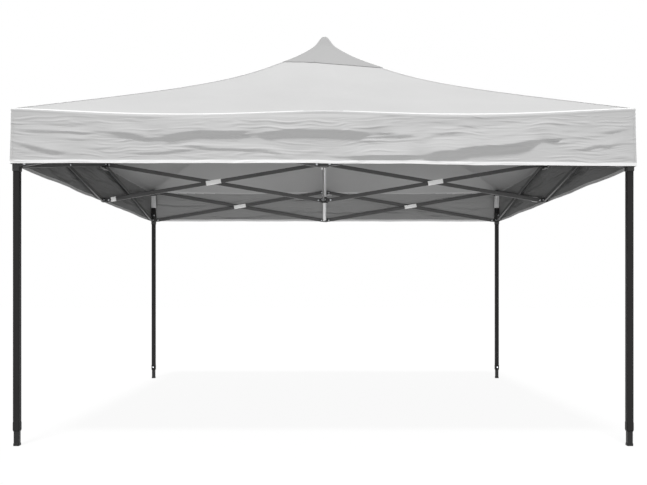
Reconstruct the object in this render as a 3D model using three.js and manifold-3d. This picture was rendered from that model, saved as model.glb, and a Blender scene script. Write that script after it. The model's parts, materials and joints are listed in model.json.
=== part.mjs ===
// Pop up canopy of the three metre class, standing open with its legs at the lowest setting.
// Millimetres, +Z up, +X to the right, +Y to the back. The origin is on the ground at the centre.
// Every side and every corner is the front side and the front right corner turned by quarter turns.

import * as THREE from 'three';
import { mergeVertices } from 'three/addons/utils/BufferGeometryUtils.js';
import Module from 'manifold-3d';

const wasm = await Module();
wasm.setup();

// Driving dimensions of the frame
const legSpacing = 2910;          // between the centres of neighbouring legs
const eaveHeight = 1596;          // top of the cover at a corner
const peakHeight = 2412;          // top of the cover at the mast
const valanceDrop = 266;          // height of the hanging valance
const pivotBelowEave = 24;        // eave to the upper pivots
const pivotSpread = 234;          // upper pivots to the lower ones, frame open

// Gaps between pieces
const seatGap = 0.3;              // between pieces that touch
const pinGap = 0.4;               // round a pin in its hole
const barGap = 0.8;               // between the two bars of a crossing pair
const earGap = 0.4;               // between a bar and an ear of its fork
const faceGap = 1;                // between a bar's round end and the body of its fork
const coverGap = 1.2;             // between the frame and the cover
const cutOverrun = 5;             // past a surface that a cut goes through
const mergeReach = 1e-4;          // corners nearer than this are one corner

// Truss bars of flat rectangular tube with rounded end plugs
const barHeight = 25;
const barThickness = 12;
const barWall = 1.2;
const barEdge = 1.2;              // bevel along the long edges
const plugLength = 30;            // solid end plug, from its pivot inwards
const plugPocket = 9;             // how far a hollow reaches past the pivot at an open plug
const endFacets = 2;              // in each quarter of a round end
const rivetHeadRadius = 7;
const rivetHeadHeight = 2;

// Forks that hold the bar ends
const pinRadius = 4;
const earThickness = 3;
const earRadius = 10;
const earRootHeight = 28;
const earFacets = 2;              // in each quarter of an ear
const pinFacets = 8;

// Reaches from a connector's centre line to its pivots
const cornerReach = 40;
const midReach = 30;
const midInwardReach = 30;
const hubReach = cornerReach + midReach - midInwardReach;

// Outer leg of square tube, with a collar at its foot
const legSide = 30;
const legWall = 1.5;
const legEdge = 2;
const collarBottom = 69;
const collarLip = 7;              // below the end of the tube
const collarSide = 32.6;
const collarHeight = 48;
const collarTaperHeight = 7;
const collarTaperDepth = 2.6;
const collarBushHeight = 40;

// Inner leg of square tube, with a foot cap
const innerSide = 25;
const innerWall = 1.5;
const innerEdge = 1.6;
const innerTop = 1010;
const footSide = 28.6;
const footHeight = 13;
const footEdge = 2.4;
const holeRadius = 4.2;
const holePitch = 150;            // step between the leg's height settings
const holeCount = 5;

// Top bracket and slider, both moulded round the outer leg
const bracketWall = 2.5;
const bracketEdge = 2.5;
const bracketBelowPivot = 26;
const capThickness = 10;
const capBevel = 8;
const sliderBelowPivot = 35;
const sliderAbovePivot = 58;
const guideEdge = 2;

// Pull pin of the slider
const pullPinHeight = 40;         // above the slider's pivot
const pullPinOffset = 9.5;        // from the leg's centre line, to the side without a bar
const pullPinRadius = 3;
const bossRadius = 6.8;
const bossLength = 10;
const knobRadius = 6.6;
const knobLength = 9;
const knobEdge = 2;

// Height button in the collar
const buttonAboveCollar = 25;     // its centre above the collar's lower end
const buttonRadius = 3.4;
const buttonKnobRadius = 7;
const buttonKnobLength = 6.5;

// Mid connectors and hubs
const midHeight = 28;
const midFlange = 5.4;
const hubHeight = 40;
const hubSleeveRadius = 17;
const hubFlangeRadius = 24;
const hubFlangeHeight = 4;
const hubFacets = 12;

// Mast, a round tube under a domed cap
const mastRadius = 11;
const mastWall = 1.5;
const mastBelowPivot = 131;       // lower end, below the lower pivots
const mastBoreGap = 0.35;
const domeRadius = 18;
const domeSkirt = 8;
const domeBrim = 1.5;
const domeFacets = 5;

// Cover
const coverThickness = 3;
const eaveBevel = 7;              // the roof turns down into the valance over this much
const eaveSag = 5;
const panelSag = 14;
const foldDepth = 9;
const foldsPerSide = 4;
const valancePoints = 24;         // along one side of the valance
const roofPoints = 10;            // along one side of the roof
const tipPoints = 4;              // along one side of the rounded tip
const hipLinearShare = 0.71;      // the hip's height is a sum of three powers of the way in
const hipMiddleShare = 0.2;
const hipMiddlePower = 4;
const hipPeakPower = 6;
const tipGap = 0.6;               // between the dome and the cover
const valanceLevelShares = [1, 0.5];
const roofLevelShares = [0.9, 0.74, 0.56, 0.38, 0.22, 0.11, 0.05];
const tipAngleShares = [1, 0.5];

// Four sides and four corners, each a quarter turn on from the one before
const sideNames = ['front', 'right', 'back', 'left'];
const cornerNames = ['front_right', 'back_right', 'back_left', 'front_left'];
const quarterTurn = Math.PI / 2;

// Derived places of the frame
const halfFrame = legSpacing / 2;
const upperPivot = eaveHeight - pivotBelowEave;
const lowerPivot = upperPivot - pivotSpread;
const span = halfFrame - cornerReach - midReach;
const barLength = Math.hypot(span, pivotSpread);
const barSlope = Math.atan2(pivotSpread, span);
const barOffset = (barThickness + barGap) / 2;
const barRadius = barHeight / 2;
const earInner = barThickness / 2 + earGap;
const holeInBar = (pinRadius + pinGap) / Math.cos(Math.PI / pinFacets);

// Derived sizes round the leg
const guideBore = legSide + 2 * seatGap;
const guideSide = guideBore + 2 * bracketWall;
const innerHalf = innerSide / 2;
const bushBore = innerSide + 2 * seatGap;
const coverInner = halfFrame + guideSide / 2 + coverGap;
const coverOuter = coverInner + coverThickness;
const capTop = eaveHeight - coverThickness - coverGap;
const outerLegTop = capTop - capThickness - seatGap;
const legBottom = collarBottom + collarLip;
const buttonHeight = collarBottom + buttonAboveCollar;
const mastBottom = lowerPivot - mastBelowPivot;

// The cover runs up to its rounded tip as if to a sharp apex a little above it
const hipPeakShare = 1 - hipLinearShare - hipMiddleShare;
const peakSteepness = hipLinearShare + hipMiddleShare * hipMiddlePower + hipPeakShare * hipPeakPower;
const tipAngle = Math.atan((peakHeight - eaveHeight) / coverOuter * peakSteepness);
const tipRadius = domeRadius + tipGap + coverThickness;
const apexHeight = peakHeight + tipRadius * (1 / Math.cos(tipAngle) - 1);

const black = { color: 0x1d1d1d, roughness: 0.45, metalness: 0.3 };
const darkSteel = { color: 0x3c3c3c, roughness: 0.4, metalness: 0.5 };
const plastic = { color: 0x262626, roughness: 0.6, metalness: 0 };
const lightSteel = { color: 0xb9b9b9, roughness: 0.35, metalness: 0.8 };
const fabric = { color: 0xc4c4c4, roughness: 0.85, metalness: 0 };

// A closed surface as a solid that can be joined and cut
function solid(geometry) {
  const bare = geometry.index ? geometry.toNonIndexed() : geometry.clone();
  bare.deleteAttribute('normal');
  bare.deleteAttribute('uv');
  const merged = mergeVertices(bare, mergeReach);
  const vertProperties = new Float32Array(merged.attributes.position.array);
  const triVerts = new Uint32Array(merged.index.array);
  const mesh = new wasm.Mesh({ numProp: 3, vertProperties, triVerts });
  mesh.merge();
  return new wasm.Manifold(mesh);
}

// The surface of a solid
function surfaceOf(piece) {
  const mesh = piece.getMesh();
  const geometry = new THREE.BufferGeometry();
  geometry.setAttribute('position', new THREE.BufferAttribute(mesh.vertProperties, 3));
  geometry.setIndex(new THREE.BufferAttribute(mesh.triVerts, 1));
  geometry.computeVertexNormals();
  return geometry;
}

// A solid lifted and moved along the y axis, and then swung about the upright axis
function swung(piece, y, z, turn) {
  const geometry = surfaceOf(piece);
  geometry.translate(0, y, z);
  geometry.rotateZ(turn);
  return solid(geometry);
}

function box(width, depth, height, x, y, z) {
  const geometry = new THREE.BoxGeometry(width, depth, height);
  geometry.translate(x, y, z);
  return solid(geometry);
}

// A cylinder that starts at a point of the x axis and runs along +X
function rod(radius, start, length, facets = pinFacets) {
  const geometry = new THREE.CylinderGeometry(radius, radius, length, facets);
  geometry.rotateZ(-quarterTurn);
  geometry.translate(start + length / 2, 0, 0);
  return solid(geometry);
}

// A cylinder across a bar, between two places on the y axis
function crossPin(radius, x, start, end) {
  const length = Math.abs(end - start);
  const geometry = new THREE.CylinderGeometry(radius, radius, length, pinFacets);
  geometry.translate(x, (start + end) / 2, 0);
  return solid(geometry);
}

// An upright prism of square section with cut corners, whose ends may be bevelled
function squarePrism(side, edge, bottom, height, bevelHeight = 0, bevelDepth = 0) {
  const half = side / 2 - bevelDepth;
  const cut = half - edge;
  const shape = new THREE.Shape();
  shape.moveTo(cut, -half);
  shape.lineTo(half, -cut);
  shape.lineTo(half, cut);
  shape.lineTo(cut, half);
  shape.lineTo(-cut, half);
  shape.lineTo(-half, cut);
  shape.lineTo(-half, -cut);
  shape.lineTo(-cut, -half);
  shape.closePath();
  const geometry = new THREE.ExtrudeGeometry(shape, {
    depth: height - 2 * bevelHeight,
    bevelEnabled: bevelHeight > 0,
    bevelThickness: bevelHeight,
    bevelSize: bevelDepth,
    bevelSegments: 1,
  });
  geometry.translate(0, 0, bottom + bevelHeight);
  return solid(geometry);
}

// A shape drawn in x and z, as thick as from one y to another
function plate(shape, start, end) {
  const geometry = new THREE.ExtrudeGeometry(shape, {
    depth: end - start,
    bevelEnabled: false,
    curveSegments: earFacets,
  });
  geometry.rotateX(quarterTurn);
  geometry.translate(0, end, 0);
  return solid(geometry);
}

// One truss bar along +X from its first pivot, with its hollow open at a pin hole.
// rivetSide is +1 or -1 for a bar that carries the crossing rivet on that side, and 0 for its partner.
function barSolid(rivetSide) {
  const half = barThickness / 2;
  const arc = barRadius - barEdge;
  const outline = new THREE.Shape();
  outline.absarc(barLength, 0, arc, -quarterTurn, quarterTurn, false);
  outline.absarc(0, 0, arc, quarterTurn, 3 * quarterTurn, false);
  const geometry = new THREE.ExtrudeGeometry(outline, {
    depth: barThickness - 2 * barEdge,
    bevelEnabled: true,
    bevelThickness: barEdge,
    bevelSize: barEdge,
    bevelSegments: 1,
    curveSegments: endFacets,
  });
  geometry.rotateX(quarterTurn);
  geometry.translate(0, half - barEdge, 0);
  let bar = solid(geometry);

  const hollowStart = rivetSide ? -plugPocket : plugLength;
  const hollowLength = barLength - plugLength - hollowStart;
  const hollowCentre = hollowStart + hollowLength / 2;
  const inside = barThickness - 2 * barWall;
  bar = bar.subtract(box(hollowLength, inside, barHeight - 2 * barWall, hollowCentre, 0, 0));

  const through = half + cutOverrun;
  for (const x of [0, barLength]) {
    bar = bar.subtract(crossPin(holeInBar, x, -through, through));
  }
  const middle = barLength / 2;
  if (!rivetSide) {
    return bar.subtract(crossPin(holeInBar, middle, -through, through));
  }
  const shaftStart = half - barWall / 2;
  const headStart = half + barGap + barThickness + seatGap;
  const headEnd = headStart + rivetHeadHeight;
  bar = bar.add(crossPin(pinRadius, middle, rivetSide * shaftStart, rivetSide * headEnd));
  return bar.add(crossPin(rivetHeadRadius, middle, rivetSide * headStart, rivetSide * headEnd));
}

// Two ears with their pin, for a bar that lies beside the centre line by offset.
// The fork points along +X from root, and turn swings it about the upright axis.
function forkSolid(reach, root, offset, turn) {
  const shape = new THREE.Shape();
  shape.moveTo(root, -earRootHeight / 2);
  shape.lineTo(reach, -earRadius);
  shape.absarc(reach, 0, earRadius, -quarterTurn, quarterTurn, false);
  shape.lineTo(root, earRootHeight / 2);
  shape.closePath();
  const outside = earInner + earThickness;
  const ears = plate(shape, -outside, -earInner).add(plate(shape, earInner, outside));
  const embed = earInner + earThickness / 2;
  const fork = ears.add(crossPin(pinRadius, reach, -embed, embed));
  return swung(fork, offset, 0, turn);
}

// The connector in the middle of a side: two forks along the side and one to the hub.
// Seen from the middle of the canopy, each pair's bar that rises to the right lies in front.
function midSolid(sideOffset, inwardOffset) {
  const stemHalf = midReach - barRadius - faceGap;
  const flangeHalf = barOffset + earInner + earThickness;
  const inwardFace = midInwardReach - barRadius - faceGap;
  const plan = new THREE.Shape();
  plan.moveTo(-stemHalf, -flangeHalf);
  plan.lineTo(stemHalf, -flangeHalf);
  plan.lineTo(stemHalf, inwardFace - midFlange);
  plan.lineTo(flangeHalf, inwardFace - midFlange);
  plan.lineTo(flangeHalf, inwardFace);
  plan.lineTo(-flangeHalf, inwardFace);
  plan.lineTo(-flangeHalf, inwardFace - midFlange);
  plan.lineTo(-stemHalf, inwardFace - midFlange);
  plan.closePath();
  const geometry = new THREE.ExtrudeGeometry(plan, { depth: midHeight, bevelEnabled: false });
  geometry.translate(0, 0, -midHeight / 2);
  const root = stemHalf - earThickness;
  return solid(geometry)
    .add(forkSolid(midReach, root, sideOffset, 0))
    .add(forkSolid(midReach, root, sideOffset, 2 * quarterTurn))
    .add(forkSolid(midInwardReach, inwardFace - midFlange, -inwardOffset, quarterTurn));
}

// A hub: a sleeve round the mast with four forks and a flange, clear of the bars as they fold.
// flangeSide is -1 for a flange below the forks and 1 for one above them.
function hubSolid(offset, flangeSide) {
  const bore = mastRadius + mastBoreGap;
  const half = hubHeight / 2;
  const waist = half - hubFlangeHeight;
  const profile = [
    new THREE.Vector2(0, -half),
    new THREE.Vector2(hubFlangeRadius, -half),
    new THREE.Vector2(hubFlangeRadius, -waist),
    new THREE.Vector2(hubSleeveRadius, -waist),
    new THREE.Vector2(hubSleeveRadius, half),
    new THREE.Vector2(0, half),
  ];
  const geometry = new THREE.LatheGeometry(profile, hubFacets);
  geometry.rotateX(-flangeSide * quarterTurn);
  let hub = solid(geometry);
  sideNames.forEach((name, index) => {
    hub = hub.add(forkSolid(hubReach, 0, offset, index * quarterTurn));
  });
  const cut = new THREE.CylinderGeometry(bore, bore, hubHeight + 2 * cutOverrun, hubFacets);
  cut.rotateX(quarterTurn);
  return hub.subtract(solid(cut));
}

// The outer leg with its collar, drawn round the leg's own centre line.
// face is the turn to the side that the button and the pull pin work from.
function outerLegSolid(face) {
  const boreSide = legSide - 2 * legWall;
  const tube = squarePrism(legSide, legEdge, legBottom, outerLegTop - legBottom);
  const collar = squarePrism(collarSide, legEdge, collarBottom, collarHeight, collarTaperHeight,
    collarTaperDepth);
  const bushTop = collarBottom + collarBushHeight;
  const boreHeight = outerLegTop - bushTop + cutOverrun;
  const bore = box(boreSide, boreSide, boreHeight, 0, 0, bushTop + boreHeight / 2);
  const bushCut = collarBushHeight + 2 * cutOverrun;
  const bush = box(bushBore, bushBore, bushCut, 0, 0, collarBottom + collarBushHeight / 2);
  const pinHole = swung(rod(pullPinRadius + pinGap, innerHalf, legSide / 2), pullPinOffset,
    lowerPivot + pullPinHeight, face);
  const buttonHole = swung(rod(buttonRadius + pinGap, innerHalf, collarSide), 0, buttonHeight, face);
  return tube.add(collar).subtract(bore).subtract(bush).subtract(pinHole).subtract(buttonHole);
}

// The inner leg: a tube with height holes in one face and a moulded foot cap
function innerLegSolid(face) {
  const boreSide = innerSide - 2 * innerWall;
  let leg = squarePrism(innerSide, innerEdge, footHeight / 2, innerTop - footHeight / 2);
  const boreHeight = innerTop - footHeight + cutOverrun;
  leg = leg.subtract(box(boreSide, boreSide, boreHeight, 0, 0, footHeight + boreHeight / 2));
  for (let i = 0; i < holeCount; i += 1) {
    leg = leg.subtract(swung(rod(holeRadius, 0, innerSide), 0, buttonHeight + i * holePitch, face));
  }
  const edgeBevel = footEdge / 2;
  return leg.add(squarePrism(footSide, footEdge, 0, footHeight, edgeBevel, edgeBevel));
}

// The two forks of a corner piece, one along each of the sides that meet there
function cornerForks(offset) {
  const root = guideBore / 2 + bracketWall / 2;
  const alongSide = forkSolid(cornerReach, root, offset, 2 * quarterTurn);
  return alongSide.add(forkSolid(cornerReach, root, offset, quarterTurn));
}

// The cap on the leg's top, about the height of the upper pivots
function topBracketSolid() {
  const top = capTop - upperPivot;
  const sleeve = squarePrism(guideSide, bracketEdge, -bracketBelowPivot,
    bracketBelowPivot + top - capBevel);
  const capHeight = 3 * capBevel;
  const cap = squarePrism(guideSide, bracketEdge, top - capHeight, capHeight, capBevel, capBevel);
  const boreHeight = bracketBelowPivot + top - capThickness + cutOverrun;
  const boreCentre = top - capThickness - boreHeight / 2;
  const bore = box(guideBore, guideBore, boreHeight, 0, 0, boreCentre);
  return sleeve.add(cap).add(cornerForks(barOffset)).subtract(bore);
}

// The sleeve that runs on the leg, about the height of the lower pivots
function sliderSolid(face) {
  const height = sliderBelowPivot + sliderAbovePivot;
  const shell = squarePrism(guideSide, bracketEdge, -sliderBelowPivot, height, guideEdge, guideEdge);
  const bossRoot = guideBore / 2 + bracketWall / 2;
  const bossEnd = guideSide / 2 + bossLength;
  const boss = swung(rod(bossRadius, bossRoot, bossEnd - bossRoot), pullPinOffset, pullPinHeight,
    face);
  const bore = box(guideBore, guideBore, height + 2 * cutOverrun, 0, 0,
    height / 2 - sliderBelowPivot);
  const pinHole = swung(rod(pullPinRadius + pinGap, innerHalf, legSide), pullPinOffset,
    pullPinHeight, face);
  return shell.add(boss).add(cornerForks(-barOffset)).subtract(bore).subtract(pinHole);
}

// A pin with a rounded knob, turned about the x axis, whose nose stops just short of the leg
function knobSolid(nose, neckStart, radius, shaftRadius, length) {
  const end = neckStart + length;
  const profile = [
    new THREE.Vector2(0, nose),
    new THREE.Vector2(shaftRadius, nose),
    new THREE.Vector2(shaftRadius, neckStart),
    new THREE.Vector2(radius, neckStart),
    new THREE.Vector2(radius, end - knobEdge),
    new THREE.Vector2(radius - knobEdge, end),
    new THREE.Vector2(0, end),
  ];
  const geometry = new THREE.LatheGeometry(profile, pinFacets);
  geometry.rotateZ(-quarterTurn);
  return solid(geometry);
}

function sliderPinSolid() {
  const neckStart = guideSide / 2 + bossLength + seatGap;
  return knobSolid(legSide / 2 + seatGap, neckStart, knobRadius, pullPinRadius, knobLength);
}

function buttonSolid() {
  const neckStart = collarSide / 2 + seatGap;
  return knobSolid(innerHalf + seatGap, neckStart, buttonKnobRadius, buttonRadius,
    buttonKnobLength);
}

// The mast: an open tube under a dome that the cover's peak rests on
function mastSolid() {
  const domeTop = peakHeight - coverThickness - tipGap;
  const domeBase = domeTop - domeRadius;
  const inner = mastRadius - mastWall;
  const profile = [
    new THREE.Vector2(0, domeBase),
    new THREE.Vector2(inner, domeBase),
    new THREE.Vector2(inner, mastBottom),
    new THREE.Vector2(mastRadius, mastBottom),
    new THREE.Vector2(mastRadius, domeBase - domeSkirt),
    new THREE.Vector2(domeRadius - domeBrim, domeBase - domeSkirt),
  ];
  for (let i = 0; i <= domeFacets; i += 1) {
    const angle = i / domeFacets * quarterTurn;
    const radius = i < domeFacets ? domeRadius * Math.cos(angle) : 0;
    profile.push(new THREE.Vector2(radius, domeBase + domeRadius * Math.sin(angle)));
  }
  const geometry = new THREE.LatheGeometry(profile, hubFacets);
  geometry.rotateX(quarterTurn);
  return solid(geometry);
}

// Height of the roof's top at a share of the way from the eave to the peak,
// and at a place along the side from -1 at one corner to 1 at the next
function roofHeight(inward, along) {
  const rise = hipLinearShare * inward + hipMiddleShare * inward ** hipMiddlePower
    + hipPeakShare * inward ** hipPeakPower;
  const mid = 1 - along * along;
  const slack = eaveSag * (1 - inward) + panelSag * 4 * inward * (1 - inward);
  return eaveHeight + (apexHeight - eaveHeight) * rise - mid * slack;
}

// How far the valance's soft folds stand out at a place along the side
function foldOut(along, downShare) {
  const phase = (along + 1) / 2 * foldsPerSide * 2 * Math.PI;
  return foldDepth * downShare * (1 - Math.cos(phase)) / 2;
}

// A closed ring of points round the cover, the same on its four sides
function coverRing(points, place) {
  const ring = [];
  const upright = new THREE.Vector3(0, 0, 1);
  sideNames.forEach((name, index) => {
    for (let i = 0; i < points; i += 1) {
      const along = -1 + 2 * i / points;
      const { out, up } = place(along);
      const point = new THREE.Vector3(along * out.corner, -out.side, up);
      ring.push(point.applyAxisAngle(upright, index * quarterTurn));
    }
  });
  return ring;
}

// The rings of one skin of the cover from the hem up, set in from the outer skin by inset
function coverRings(inset) {
  const half = coverOuter - inset;
  const rings = [];
  for (const share of valanceLevelShares) {
    rings.push(coverRing(valancePoints, (along) => ({
      out: { corner: half, side: half + foldOut(along, share) },
      up: eaveHeight - share * valanceDrop,
    })));
  }
  rings.push(coverRing(valancePoints, (along) => ({
    out: { corner: half, side: half },
    up: roofHeight(0, along) - eaveBevel,
  })));
  rings.push(coverRing(valancePoints, (along) => ({
    out: { corner: half - eaveBevel, side: half - eaveBevel },
    up: roofHeight(eaveBevel / coverOuter, along) - inset,
  })));
  for (const share of roofLevelShares) {
    rings.push(coverRing(roofPoints, (along) => ({
      out: { corner: half * share, side: half * share },
      up: roofHeight(1 - share, along) - inset,
    })));
  }
  for (const share of tipAngleShares) {
    const angle = share * tipAngle;
    const radius = (tipRadius - inset) * Math.sin(angle);
    rings.push(coverRing(tipPoints, () => ({
      out: { corner: radius, side: radius },
      up: peakHeight - tipRadius + (tipRadius - inset) * Math.cos(angle),
    })));
  }
  return rings;
}

// Triangles between two closed rings, which may hold different numbers of points
function stitch(positions, lower, upper, outwards) {
  const put = (a, b, c) => {
    const corners = outwards ? [a, b, c] : [a, c, b];
    corners.forEach((point) => positions.push(point.x, point.y, point.z));
  };
  let i = 0;
  let j = 0;
  while (i < lower.length || j < upper.length) {
    const a = lower[i % lower.length];
    const b = upper[j % upper.length];
    const lowerNext = (i + 1) / lower.length;
    const upperNext = (j + 1) / upper.length;
    if (i < lower.length && (lowerNext <= upperNext || j >= upper.length)) {
      i += 1;
      put(a, lower[i % lower.length], b);
    } else {
      j += 1;
      put(a, upper[j % upper.length], b);
    }
  }
}

// The cover as one thin closed shell, open underneath
function coverSolid() {
  const positions = [];
  const skins = [coverRings(0), coverRings(coverThickness)];
  skins.forEach((rings, skin) => {
    const outwards = skin === 0;
    for (let level = 1; level < rings.length; level += 1) {
      stitch(positions, rings[level - 1], rings[level], outwards);
    }
    const apex = new THREE.Vector3(0, 0, peakHeight - skin * coverThickness);
    stitch(positions, rings[rings.length - 1], [apex], outwards);
  });
  stitch(positions, skins[0][0], skins[1][0], false);
  const geometry = new THREE.BufferGeometry();
  geometry.setAttribute('position', new THREE.Float32BufferAttribute(positions, 3));
  return solid(geometry);
}

const canopy = new THREE.Group();

function part(name, piece, look, parent) {
  const mesh = new THREE.Mesh(surfaceOf(piece), new THREE.MeshStandardMaterial(look));
  mesh.name = name;
  parent.add(mesh);
  return mesh;
}

// A bar that starts at a pivot and climbs at an angle from +X in the plane of x and z
function placeBar(name, piece, parent, x, y, z, climb) {
  const bar = part(name, piece, darkSteel, parent);
  bar.position.set(x, y, z);
  bar.rotation.y = -climb;
}

const plainBar = barSolid(0);
const rivetInward = barSolid(1);
const rivetOutward = barSolid(-1);

// One side: its two crossing pairs, its mid connectors and the truss from it to the hubs
function addSide(index) {
  const name = sideNames[index];
  const side = new THREE.Group();
  side.rotation.z = index * quarterTurn;
  canopy.add(side);

  for (const end of [1, -1]) {
    const toward = sideNames.at((index + end) % sideNames.length);
    const x = end * midReach;
    const rise = end > 0 ? barSlope : Math.PI - barSlope;
    const risingBar = end > 0 ? rivetInward : rivetOutward;
    placeBar(`${name}_bar_${toward}_rise`, risingBar, side, x, -halfFrame - end * barOffset,
      lowerPivot, rise);
    placeBar(`${name}_bar_${toward}_fall`, plainBar, side, x, -halfFrame + end * barOffset,
      upperPivot, -rise);
  }

  const lower = part(`mid_lower_${name}`, midSolid(-barOffset, barOffset), plastic, side);
  lower.position.set(0, -halfFrame, lowerPivot);
  const upper = part(`mid_upper_${name}`, midSolid(barOffset, -barOffset), plastic, side);
  upper.position.set(0, -halfFrame, upperPivot);

  const cross = new THREE.Group();
  cross.rotation.z = -quarterTurn;
  side.add(cross);
  placeBar(`cross_bar_${name}_fall`, rivetOutward, cross, hubReach, barOffset, upperPivot,
    -barSlope);
  placeBar(`cross_bar_${name}_rise`, plainBar, cross, hubReach, -barOffset, lowerPivot,
    barSlope);
}

// One corner: the leg that slides in two parts, its cap, its slider and their two locks.
// The locks work from the side that faces the middle of the canopy, front to back.
function addCorner(index) {
  const name = cornerNames[index];
  const turned = new THREE.Group();
  turned.rotation.z = index * quarterTurn;
  canopy.add(turned);
  const corner = new THREE.Group();
  corner.position.set(halfFrame, -halfFrame, 0);
  turned.add(corner);
  const face = index % 2 ? 2 * quarterTurn : quarterTurn;

  part(`outer_leg_${name}`, outerLegSolid(face), black, corner);
  part(`inner_leg_${name}`, innerLegSolid(face), black, corner);
  const bracket = part(`top_bracket_${name}`, topBracketSolid(), plastic, corner);
  bracket.position.z = upperPivot;
  const slider = part(`slider_${name}`, sliderSolid(face), plastic, corner);
  slider.position.z = lowerPivot;
  const pinPiece = swung(sliderPinSolid(), pullPinOffset, pullPinHeight, face);
  const pin = part(`slider_pin_${name}`, pinPiece, lightSteel, corner);
  pin.position.z = lowerPivot;
  const button = part(`leg_button_${name}`, swung(buttonSolid(), 0, 0, face), lightSteel, corner);
  button.position.z = buttonHeight;
}

sideNames.forEach((name, index) => {
  addSide(index);
  addCorner(index);
});

const upperHub = part('hub_upper', hubSolid(barOffset, 1), plastic, canopy);
upperHub.position.z = upperPivot;
const lowerHub = part('hub_lower', hubSolid(-barOffset, -1), plastic, canopy);
lowerHub.position.z = lowerPivot;
part('mast', mastSolid(), lightSteel, canopy);
part('canopy_cover', coverSolid(), fabric, canopy);

export default canopy;
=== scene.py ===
import json
import math
import random

import bpy
from mathutils import Matrix, Vector

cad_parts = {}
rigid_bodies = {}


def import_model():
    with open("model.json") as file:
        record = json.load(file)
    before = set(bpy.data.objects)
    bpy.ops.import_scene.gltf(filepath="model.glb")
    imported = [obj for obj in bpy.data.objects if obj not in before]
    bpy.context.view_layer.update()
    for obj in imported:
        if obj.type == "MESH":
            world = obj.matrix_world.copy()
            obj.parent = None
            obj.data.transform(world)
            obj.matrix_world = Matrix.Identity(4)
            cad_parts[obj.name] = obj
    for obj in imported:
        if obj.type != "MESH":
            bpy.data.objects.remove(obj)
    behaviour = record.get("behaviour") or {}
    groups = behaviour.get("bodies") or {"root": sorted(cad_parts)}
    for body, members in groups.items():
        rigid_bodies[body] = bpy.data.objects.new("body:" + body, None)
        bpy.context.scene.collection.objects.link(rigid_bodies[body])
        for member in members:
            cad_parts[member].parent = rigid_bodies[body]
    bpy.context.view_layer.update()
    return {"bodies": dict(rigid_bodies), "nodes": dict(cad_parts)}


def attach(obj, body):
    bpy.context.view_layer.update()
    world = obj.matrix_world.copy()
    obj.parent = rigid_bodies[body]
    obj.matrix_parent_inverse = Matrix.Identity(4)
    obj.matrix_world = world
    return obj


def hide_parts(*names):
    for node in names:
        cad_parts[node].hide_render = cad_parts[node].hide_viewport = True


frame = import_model()

# Camera. The picture was taken level, from waist height and a little right of the middle,
# five metres in front of the canopy, so its uprights stay parallel.
scene = bpy.context.scene
bpy.ops.object.camera_add(location=(0.0215, -5.1625, 0.73), rotation=(math.radians(90), 0, 0))
scene.camera = bpy.context.object
scene.camera.name = "front_camera"
scene.camera.data.sensor_width = 36
scene.camera.data.lens = 43.4
scene.camera.data.shift_x = -0.0066
scene.camera.data.shift_y = 0.0765
scene.view_settings.view_transform = "Standard"


# Lamps. One broad lamp high in front, a weak one just below the horizon in front that reaches the
# frame under the roof, and a pale room all round that fills the shade.
# Metal mirrors the white of the room, which puts the light lines on the bars.
def add_sun(name, tilt, turn, energy, spread):
    """A sun that fills spread of the sky, tilted towards the front and turned round the mast, in degrees."""
    bpy.ops.object.light_add(type="SUN", rotation=(math.radians(tilt), 0, math.radians(turn)))
    lamp = bpy.context.object
    lamp.name = name
    lamp.data.energy = energy
    lamp.data.angle = math.radians(spread)


def linear(hex_colour):
    channels = [int(hex_colour[i:i + 2], 16) / 255 for i in (1, 3, 5)]
    return [c / 12.92 if c <= 0.04045 else ((c + 0.055) / 1.055) ** 2.4 for c in channels] + [1]


def add_node(tree, kind, props, inputs):
    node = tree.nodes.new("ShaderNode" + kind)
    for name, value in props.items():
        setattr(node, name, value)
    for socket, value in inputs.items():
        if isinstance(value, bpy.types.NodeSocket):
            tree.links.new(value, node.inputs[socket])
        else:
            node.inputs[socket].default_value = value
    return node


def seen_directly(tree):
    """1 for rays from the camera, straight, mirrored or through glass, and 0 for those that only light."""
    rays = add_node(tree, "LightPath", {}, {})
    seen = add_node(tree, "Math", {"operation": "MAXIMUM"},
                    {0: rays.outputs["Is Camera Ray"], 1: rays.outputs["Is Glossy Ray"]})
    seen = add_node(tree, "Math", {"operation": "MAXIMUM"},
                    {0: seen.outputs[0], 1: rays.outputs["Is Transmission Ray"]})
    return seen.outputs[0]


add_sun("key_lamp", tilt=20, turn=-8, energy=2.85, spread=8)
add_sun("low_lamp", tilt=104, turn=0, energy=1.05, spread=14)
room = bpy.data.worlds.new("pale_room")
scene.world = room
room.use_nodes = True
tree = room.node_tree
tree.nodes.clear()
fill = add_node(tree, "Background", {}, {"Color": (1, 1, 1, 1), "Strength": 0.4})
white = add_node(tree, "Background", {}, {"Color": (1, 1, 1, 1), "Strength": 1})
either = add_node(tree, "MixShader", {}, {0: seen_directly(tree), 1: fill.outputs[0], 2: white.outputs[0]})
add_node(tree, "OutputWorld", {}, {"Surface": either.outputs[0]})


# Floor. A plain pale sheet that runs on into the white behind the canopy.
# It is nearly as bright in the shade, so only a faint shadow lies under the canopy, and it casts none
# itself, so that the low lamp passes through it.
def new_material(name):
    """A material whose node tree is still empty."""
    material = bpy.data.materials.new(name)
    material.use_nodes = True
    material.node_tree.nodes.clear()
    return material


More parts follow.
